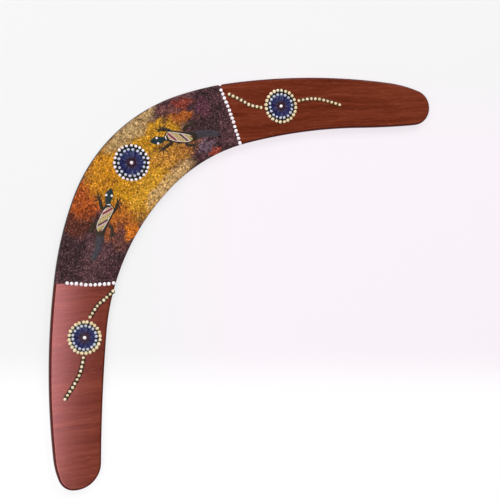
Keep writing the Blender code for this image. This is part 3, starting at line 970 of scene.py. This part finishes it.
# Each stroke of a lizard: its width, its rise and how much it tapers.
LIMB_STROKE = (2.8, 0.2, 0.2)
TOE_STROKE = (1.35, 0.17, 0.5)
TAIL_STROKE = (6.6, 0.18, 0.4)
OUTLINE_STROKE = (0.3, 0.2, 0.0)
COLLAR_STROKE = (0.7, 0.2, 0.0)
BAR_STROKE = (0.6, 0.14, 0.0)
STRIPE_RISE = 0.12
HEAD_RISE = 0.34
BODY_RISE = 0.2
BACK_RISE = 0.3
EYE = 0.85
EYE_RISE = 0.35
SPOT = 0.32
SPOT_RISE = 0.14
# The slanting stripes on its back: paint, where it crosses the body's line, width. They
# all run this far back and to the left.
SLANT = (-0.7, 0.72)
BODY_LINE = -0.7
STRIPES = (
    ("dark_red", 4.4, 1.5), ("pink", 5.9, 0.7), ("pink", 2.9, 0.7), ("plum", -3.0, 1.3),
    ("pink", -4.4, 1.0), ("olive", -6.4, 1.3), ("dark_red", -8.4, 0.9),
)
DOTTED_LINES = (0.8, -1.2)
SPOTS_PER_LINE = 7


def chord(outline, through, along):
    """Where the line through a point crosses a closed outline: its two outermost places."""
    normal = Vector((-along[1], along[0]))
    gaps = [(p - through).dot(normal) for p in outline]
    found = []
    for i, point in enumerate(outline):
        if (gaps[i - 1] <= 0.0) != (gaps[i] <= 0.0):
            part = gaps[i - 1] / (gaps[i - 1] - gaps[i])
            found.append(outline[i - 1].lerp(point, part))
    return found[0], found[-1]


def film(work, closed, base, rise):
    """A low film of paint that fills a smooth closed outline, given as its points."""
    along = [(closed[(i + 1) % len(closed)] - closed[i - 1]).normalized()
             for i in range(len(closed))]
    turn = sum(a.cross(b) for a, b in zip(closed, closed[1:] + closed[:1]))
    side = 1.0 if turn > 0 else -1.0
    rings = []
    for step_in, up in ((0.0, 0.0), (0.05, 0.7), (0.2, 1.0), (0.5, 1.08)):
        rings.append([(p.x - a.y * step_in * side, p.y + a.x * step_in * side, base + rise * up)
                      for p, a in zip(closed, along)])
    loft(work, rings)


def make_lizard(name, paints, rng):
    """A painted lizard: dark limbs and tail, a teal head and a back with slanting stripes."""
    middle, heading = LIZARDS[name]
    turn = Matrix.Rotation(math.radians(heading), 2)
    skin = ON_PANEL + FILM_BASE

    def place(spot):
        return Vector(middle) + turn @ Vector(spot)

    def closed(outline):
        return smooth_path([place(p) for p in (*outline, outline[0])], 5)[:-1]

    def brush(work, points, size, base=skin):
        width, rise, taper = size
        stroke(work, smooth_path([place(p) for p in points], 6), width, base, rise, rng, taper)

    limbs = bmesh.new()
    for path, toes in LIMBS:
        brush(limbs, path, LIMB_STROKE)
        for tip in toes:
            brush(limbs, (path[-1], tip), TOE_STROKE)
    piece(name + "_limbs", limbs, [paints["umber"]], "lizard_paint")

    tail = bmesh.new()
    brush(tail, TAIL, TAIL_STROKE)
    piece(name + "_tail", tail, [paints["slate"]], "lizard_paint")

    head = bmesh.new()
    film(head, closed(HEAD), skin, HEAD_RISE)
    piece(name + "_head", head, [paints["teal"]], "lizard_paint", name)

    body = bmesh.new()
    film(body, closed(BODY), skin, BODY_RISE)
    piece(name + "_body", body, [paints["umber"]], "lizard_paint")

    back = bmesh.new()
    edge = closed(BACK)
    film(back, edge, skin, BACK_RISE)
    piece(name + "_back", back, [paints["pale_cream"]], "cream_paint")

    slant = turn @ Vector(SLANT)
    for look in sorted({stripe[0] for stripe in STRIPES}):
        work = bmesh.new()
        for _, along, width in (stripe for stripe in STRIPES if stripe[0] == look):
            start, end = chord(edge, place((along, BODY_LINE)), slant)
            stroke(work, [start.lerp(end, 0.05), start.lerp(end, 0.95)], width, skin + 0.28,
                   STRIPE_RISE, rng)
        piece(name + "_" + look + "_stripes", work, [paints[look]], "plum_paint")

    white = bmesh.new()
    brush(white, BACK[1:6], OUTLINE_STROKE, skin + 0.24)
    brush(white, BACK[7:], OUTLINE_STROKE, skin + 0.24)
    brush(white, COLLAR, COLLAR_STROKE, skin + 0.26)
    for spot in EYES:
        drop(white, place(spot), skin + 0.24, EYE, EYE_RISE, rng)
    piece(name + "_whites", white, [paints["white"]], "white_paint")

    marks = bmesh.new()
    brush(marks, FRONT_BAR, BAR_STROKE, skin + 0.28)
    for along in DOTTED_LINES:
        start, end = chord(edge, place((along, BODY_LINE)), slant)
        for spot in evenly([start.lerp(end, 0.08), start.lerp(end, 0.92)], SPOTS_PER_LINE):
            drop(marks, spot, skin + 0.3, SPOT, SPOT_RISE, rng)
    piece(name + "_marks", marks, [paints["black"]], "black_paint")


# ---- stage, camera and lights ----
def make_floor():
    """A pale table that glows like a light box, so that it shows next to no shadow."""
    bpy.ops.mesh.primitive_plane_add(size=FLOOR_SIZE * MM, location=(0.0, 0.0, -FLOOR_DROP * MM))
    floor = bpy.context.object
    floor.name = "floor"
    made, tree, shader = new_material("pale_floor", 0.9, specular=0.0)
    where = position(tree)
    near = vector_of(tree, "DOT_PRODUCT", where, NEAR_SIDE)
    right = vector_of(tree, "DOT_PRODUCT", where, FAR_RIGHT)
    pink = math_of(tree, "MULTIPLY", remap(tree, right, *PINK_RIGHT, smooth=True),
                   remap(tree, near, *PINK_NEAR, smooth=True))
    tint = mix(tree, pink, linear((245, 245, 245)), linear((251, 243, 250)))
    tint = mix(tree, remap(tree, near, *WHITE_NEAR, smooth=True), tint, (1.03, 1.02, 1.03, 1.0))
    connect(tree, mix(tree, 1.0, tint, (DIFFUSE_SHARE,) * 3 + (1.0,), "MULTIPLY"), shader,
            "Base Color")
    connect(tree, tint, shader, "Emission Color")
    shader.inputs["Emission Strength"].default_value = 1.0 - DIFFUSE_SHARE
    floor.data.materials.append(made)


def make_camera():
    data = bpy.data.cameras.new("camera")
    data.lens = CAMERA_LENS
    data.sensor_width = SENSOR_WIDTH
    data.clip_start = CLIP_START * MM
    camera = bpy.data.objects.new("camera", data)
    back = -Vector(CAMERA_FORWARD).normalized()
    right = Vector(CAMERA_UP).cross(back).normalized()
    up = back.cross(right)
    turn = Matrix((right, up, back)).transposed().to_4x4()
    camera.matrix_world = Matrix.Translation(Vector(CAMERA_AT) * MM) @ turn
    bpy.context.scene.collection.objects.link(camera)
    bpy.context.scene.camera = camera


def area_light(name, at, target, size, power, turn=0.0):
    """A rectangular light that faces its target, turned so many degrees about its beam."""
    data = bpy.data.lights.new(name, "AREA")
    data.shape = "RECTANGLE"
    data.size, data.size_y = (side * MM for side in size)
    data.energy = power
    light = bpy.data.objects.new(name, data)
    light.location = Vector(at) * MM
    if Vector(at).xy == Vector(target).xy:
        light.rotation_euler = (0.0, 0.0, math.radians(turn))
    else:
        light.rotation_euler = (Vector(target) - Vector(at)).to_track_quat("-Z", "Y").to_euler()
    bpy.context.scene.collection.objects.link(light)


def make_softbox():
    """A level softbox, placed so that the camera sees it in one patch of the lacquer."""
    (x, y), (long, short), turn = SHEEN
    camera = Vector(CAMERA_AT)
    lens_to_board = camera.z - BOARD_TOP
    reach = (SOFTBOX_HEIGHT - BOARD_TOP + lens_to_board) / lens_to_board
    at = (camera.x + (x - camera.x) * reach, camera.y + (y - camera.y) * reach, SOFTBOX_HEIGHT)
    size = (long * reach, short * reach)
    area_light("softbox", at, (at[0], at[1], 0.0), size, SOFTBOX_POWER, turn=turn)


def make_world():
    """Soft pale light from round about, and a dark ceiling overhead."""
    world = bpy.data.worlds.new("studio")
    world.use_nodes = True
    tree = world.node_tree
    background = tree.nodes["Background"]
    where = node(tree, "ShaderNodeTexCoord").outputs["Generated"]
    colour = ramp(tree, up_part(tree, where), ((0.55, (255, 254, 255)), (0.85, (50, 50, 52))))
    tree.links.new(colour, background.inputs["Color"])
    background.inputs["Strength"].default_value = WORLD_STRENGTH
    bpy.context.scene.world = world


def make_lights():
    make_world()
    make_softbox()
    for name, at, power in FILLS:
        area_light(name, at, (0.0, 0.0, 0.0), FILL_SIZE, power)


# ---- everything ----
def main():
    bpy.context.scene.view_settings.view_transform = "Standard"
    rng = random.Random(SEED)
    make_camera()
    make_floor()
    make_lights()

    paints = make_paints()
    outline = board_outline()
    make_plies(outline)
    make_panel(outline)
    make_band("left", LEFT_BAND, paints["white"], rng)
    make_band("right", RIGHT_BAND, paints["white"], rng)
    for name in TRAILS:
        make_trail(name, paints, rng)
    for place in ROUNDELS:
        make_roundel(place, paints, rng)
    for name in LIZARDS:
        make_lizard(name, paints, rng)


main()
